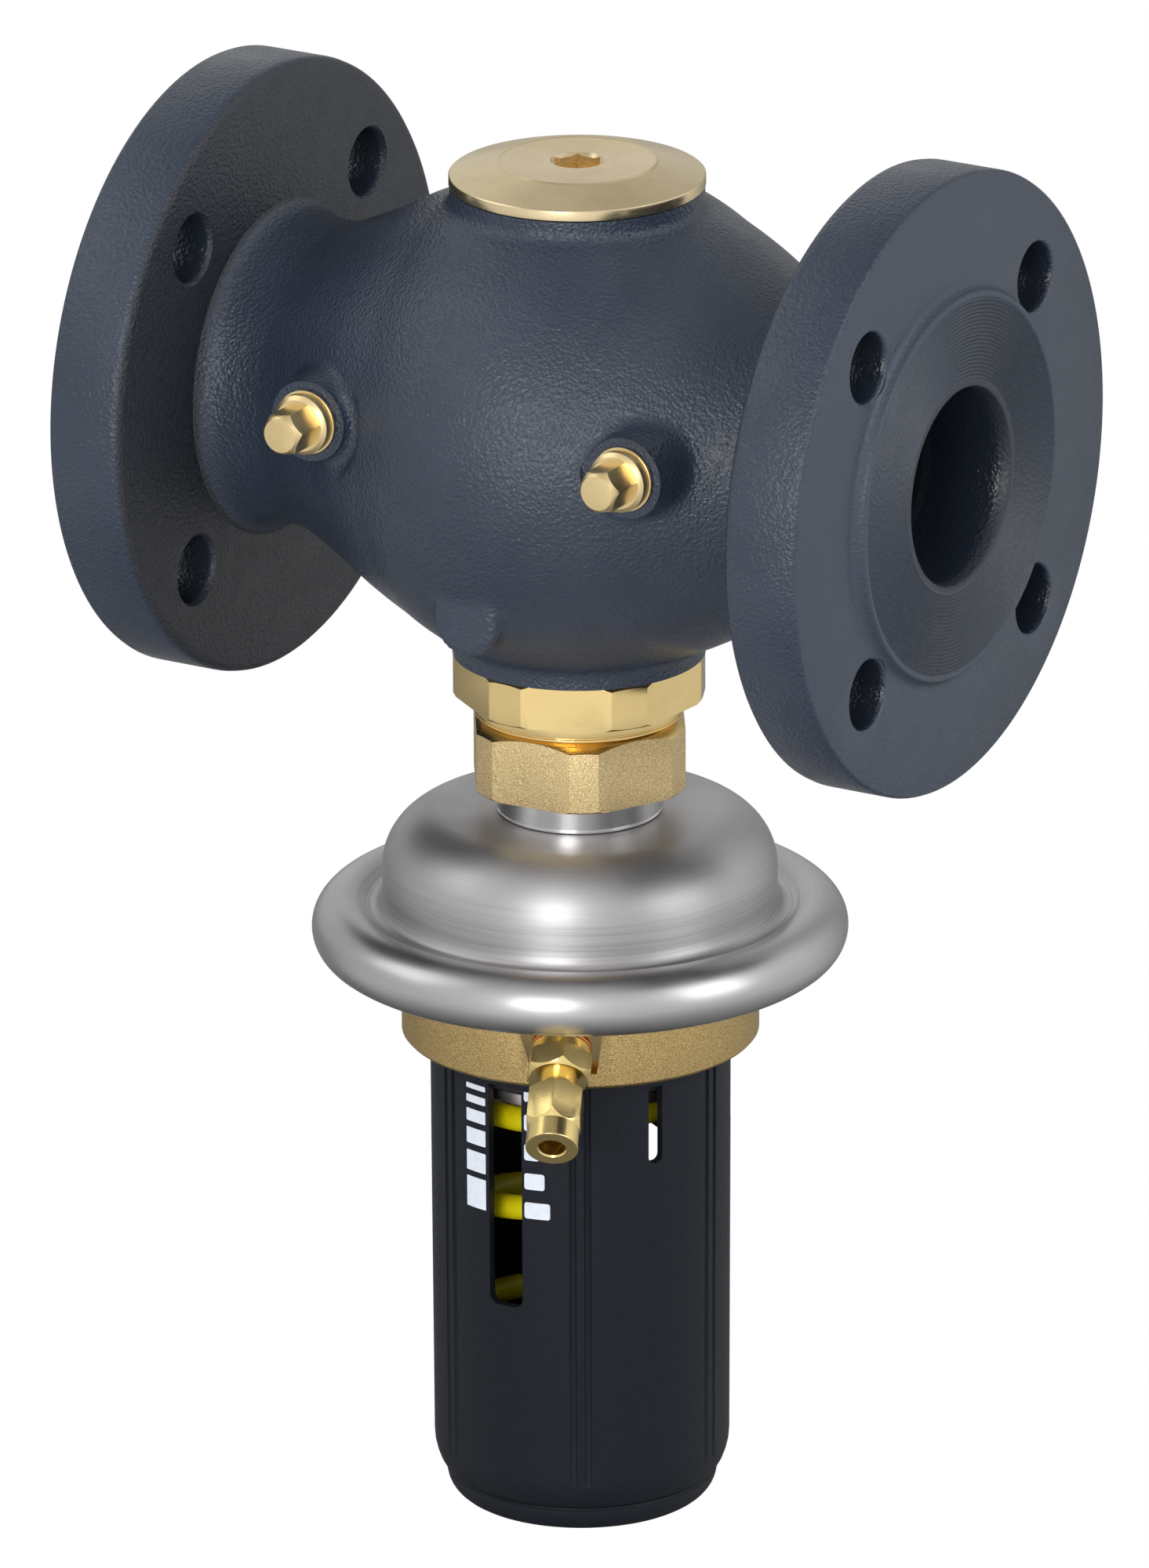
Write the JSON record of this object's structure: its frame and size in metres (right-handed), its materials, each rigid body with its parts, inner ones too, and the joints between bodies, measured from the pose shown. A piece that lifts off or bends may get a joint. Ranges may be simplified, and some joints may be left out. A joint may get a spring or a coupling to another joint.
{
  "type": "differential pressure regulator",
  "caption": "Flanged globe valve that keeps a set pressure difference, with a diaphragm actuator, union nut and spring setting handle below it.",
  "frame": {"origin": "where the pipe axis meets the stem axis, in the middle between the two flange faces", "axes": "+X along the pipe to the outlet flange, -Y to the side of the test plugs, +Z along the stem to the valve cover"},
  "size_m": [0.23, 0.165, 0.3835],
  "materials": {
    "body_paint": "slate blue gloss paint on a casting",
    "brass_machined": "turned",
    "brass_cast": "coarse shot-blasted",
    "steel_pressed": "pressed sheet, faintly brushed",
    "steel_machined": "turned",
    "rubber_black": "matte",
    "plastic_black": "matte moulded",
    "copper": "soft copper",
    "spring_yellow": "yellow coating",
    "scale_white": "white marks of the scale"
  },
  "bodies": {
    "casing": {"valve_body": "body_paint", "valve_cover": "brass_machined", "cover_seal": "rubber_black", "seat_ring": "steel_machined", "test_plug_inlet": "brass_machined", "test_plug_outlet": "brass_machined", "test_plug_inlet_washer": "brass_machined", "test_plug_outlet_washer": "brass_machined", "bonnet": "brass_machined", "bonnet_seal": "rubber_black", "union_nut": "brass_cast", "actuator_neck": "steel_machined", "casing_nut": "steel_machined", "upper_casing": "steel_pressed", "lower_casing": "steel_pressed", "diaphragm": "rubber_black", "actuator_base": "brass_cast", "rod_seal": "rubber_black", "impulse_gasket": "copper", "impulse_nipple": "brass_machined", "impulse_ferrule": "brass_machined", "impulse_nut": "brass_machined", "threaded_tube": "plastic_black", "tube_screw_1": "steel_machined", "tube_screw_2": "steel_machined", "tube_screw_3": "steel_machined"},
    "stem_group": {"valve_cone": "steel_machined", "cone_seal": "rubber_black", "valve_stem": "steel_machined", "stem_pin": "steel_machined", "draw_rod": "steel_machined", "upper_diaphragm_plate": "steel_machined", "lower_diaphragm_plate": "steel_machined", "diaphragm_nut": "steel_machined", "foot_plate": "steel_machined", "lock_nut": "steel_machined"},
    "handle_group": {"setting_handle": "plastic_black", "setting_spring": "spring_yellow"},
    "plate_group": {"setting_plate": "steel_machined"}
  },
  "joints": [
    {"name": "stem_slide", "type": "slide", "parent": "casing", "child": "stem_group", "axis": [0, 0, 1], "range_m": [0, 0.01], "stiffness_N_per_m": 500, "springref_m": -0.01, "deforming": ["diaphragm"]},
    {"name": "handle_turn", "type": "hinge", "parent": "casing", "child": "handle_group", "pos_m": [0, 0, -0.2], "axis": [0, 0, 1], "range_deg": [0, 3780]},
    {"name": "plate_slide", "type": "slide", "parent": "handle_group", "child": "plate_group", "axis": [0, 0, -1], "range_m": [0, 0.0316], "deforming": ["setting_spring"]}
  ],
  "couplings": [
    {"joint": "plate_slide", "follows": "handle_turn", "m_per_rad": 0.00047746}
  ]
}
